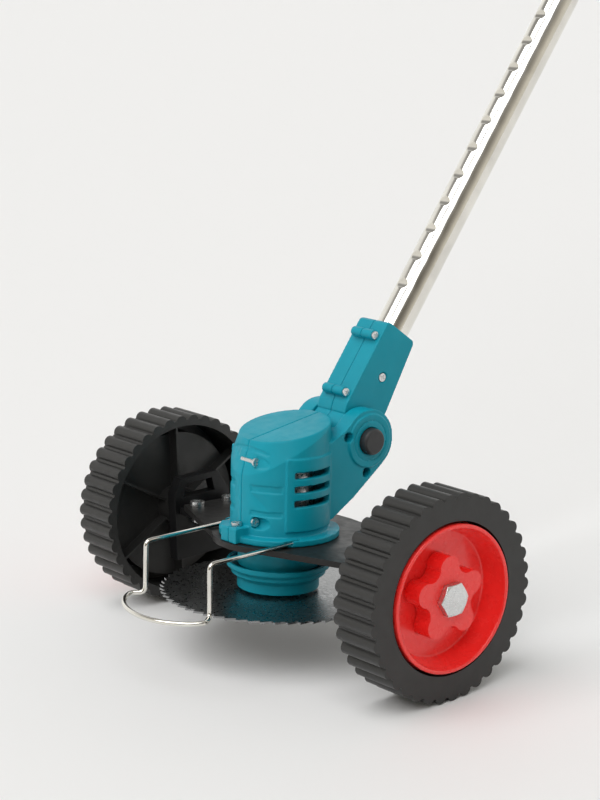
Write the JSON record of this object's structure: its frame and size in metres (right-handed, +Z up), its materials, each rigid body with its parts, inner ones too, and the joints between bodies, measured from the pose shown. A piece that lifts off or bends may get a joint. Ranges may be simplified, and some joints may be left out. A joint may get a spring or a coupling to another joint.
{
  "type": "lawn edger",
  "caption": "Two-wheeled battery lawn edger with a horizontal toothed saw blade under an upright motor, a wire guard, a pivoting telescopic pole and a rear battery handle.",
  "frame": {"origin": "on the ground midway between the two wheels, straight below their axle", "axes": "+X along the wheel axle, -Y to the front where the wire guard is, +Z up"},
  "size_m": [0.2996, 0.8874, 1.0327],
  "materials": {
    "teal_plastic": "satin",
    "black_plastic": "satin",
    "dark_plate": "satin",
    "tread_plastic": "satin",
    "red_plastic": "gloss",
    "button_plastic": "satin",
    "grip_rubber": "matte",
    "blade_steel": "brushed",
    "zinc_steel": "satin",
    "bright_tube": "polished",
    "black_tube": "satin",
    "copper_winding": "satin",
    "cell_wrap": "satin"
  },
  "bodies": {
    "pole_handle": {"upper_tube": "black_tube", "lock_collar": "black_plastic", "handle_clamp": "black_plastic", "clamp_bolt": "zinc_steel", "clamp_knob": "black_plastic", "handle_left": "teal_plastic", "handle_right": "teal_plastic", "handle_screws": "zinc_steel", "grip_cover": "grip_rubber", "trigger_pin": "zinc_steel", "switch_box": "black_plastic", "terminal_block": "black_plastic"},
    "lower_pole": {"lower_tube": "bright_tube", "socket_left": "teal_plastic", "socket_right": "teal_plastic", "socket_screws": "zinc_steel", "tube_screw": "zinc_steel"},
    "head": {"housing_left": "teal_plastic", "housing_right": "teal_plastic", "housing_screws": "zinc_steel", "motor_can": "zinc_steel", "bearing_upper": "zinc_steel", "bearing_lower": "zinc_steel", "motor_neck": "teal_plastic", "guard_plate": "dark_plate", "plate_screws": "zinc_steel", "wire_guard": "bright_tube", "bracket_left": "black_plastic", "bracket_right": "black_plastic", "bracket_screws": "zinc_steel", "star_knob_left": "red_plastic", "star_knob_right": "red_plastic", "axle_bolts": "zinc_steel", "axle_spacers": "black_plastic", "axle_nuts": "zinc_steel", "pivot_pin": "zinc_steel"},
    "wheel_l": {"wheel_left": "tread_plastic", "hub_left": "red_plastic"},
    "wheel_r": {"wheel_right": "tread_plastic", "hub_right": "red_plastic"},
    "cutter": {"motor_shaft": "zinc_steel", "armature": "copper_winding", "blade_carrier": "teal_plastic", "saw_blade": "blade_steel", "blade_washer": "zinc_steel", "blade_nut": "zinc_steel"},
    "pivot_button": {"lock_button": "button_plastic", "button_spring": "zinc_steel"},
    "latch": {"collar_latch": "red_plastic"},
    "front_loop": {"front_handle": "black_plastic", "front_grip": "grip_rubber"},
    "trigger_lever": {"trigger": "red_plastic"},
    "lock_off": {"lock_off_button": "red_plastic"},
    "battery": {"battery_case": "black_plastic", "battery_cells": "cell_wrap"},
    "battery_button": {"battery_latch": "red_plastic"}
  },
  "joints": [
    {"name": "telescope_slide", "type": "slide", "parent": "pole_handle", "child": "lower_pole", "axis": [0, 0.6184, 0.7859], "range_m": [-0.0414, 0.3105]},
    {"name": "head_tilt", "type": "hinge", "parent": "lower_pole", "child": "head", "pos_m": [0, 0.044, 0.128], "axis": [1, 0, 0], "range_deg": [-30, 30]},
    {"name": "wheel_left_spin", "type": "hinge", "parent": "head", "child": "wheel_l", "pos_m": [-0.13, 0, 0.0635], "axis": [1, 0, 0], "continuous": true},
    {"name": "wheel_right_spin", "type": "hinge", "parent": "head", "child": "wheel_r", "pos_m": [0.13, 0, 0.0635], "axis": [1, 0, 0], "continuous": true},
    {"name": "blade_spin", "type": "hinge", "parent": "head", "child": "cutter", "pos_m": [0, -0.0132, 0.0372], "axis": [0, 0.0698, 0.9976], "continuous": true},
    {"name": "pivot_lock_press", "type": "slide", "parent": "head", "child": "pivot_button", "axis": [1, 0, 0], "range_m": [-0.004, 0], "stiffness_N_per_m": 900, "springref_m": 0.003},
    {"name": "collar_latch_pull", "type": "slide", "parent": "pole_handle", "child": "latch", "axis": [0, -0.7859, 0.6184], "range_m": [0, 0.003], "stiffness_N_per_m": 900, "springref_m": -0.003},
    {"name": "front_handle_swing", "type": "hinge", "parent": "pole_handle", "child": "front_loop", "pos_m": [0, 0.44365, 0.68389], "axis": [1, 0, 0], "range_deg": [-35, 35]},
    {"name": "trigger_pull", "type": "hinge", "parent": "pole_handle", "child": "trigger_lever", "pos_m": [0, 0.63059, 0.86], "axis": [1, 0, 0], "range_deg": [0, 8], "stiffness_Nm_per_rad": 0.6, "springref_deg": -5.73},
    {"name": "lock_off_press", "type": "slide", "parent": "pole_handle", "child": "lock_off", "axis": [1, 0, 0], "range_m": [-0.0015, 0], "stiffness_N_per_m": 600, "springref_m": 0.003},
    {"name": "battery_slide", "type": "slide", "parent": "pole_handle", "child": "battery", "axis": [0, -0.7859, 0.6184], "range_m": [0, 0.06]},
    {"name": "battery_latch_press", "type": "slide", "parent": "battery", "child": "battery_button", "axis": [0, -0.6184, -0.7859], "range_m": [-0.003, 0], "stiffness_N_per_m": 700, "springref_m": 0.003}
  ]
}
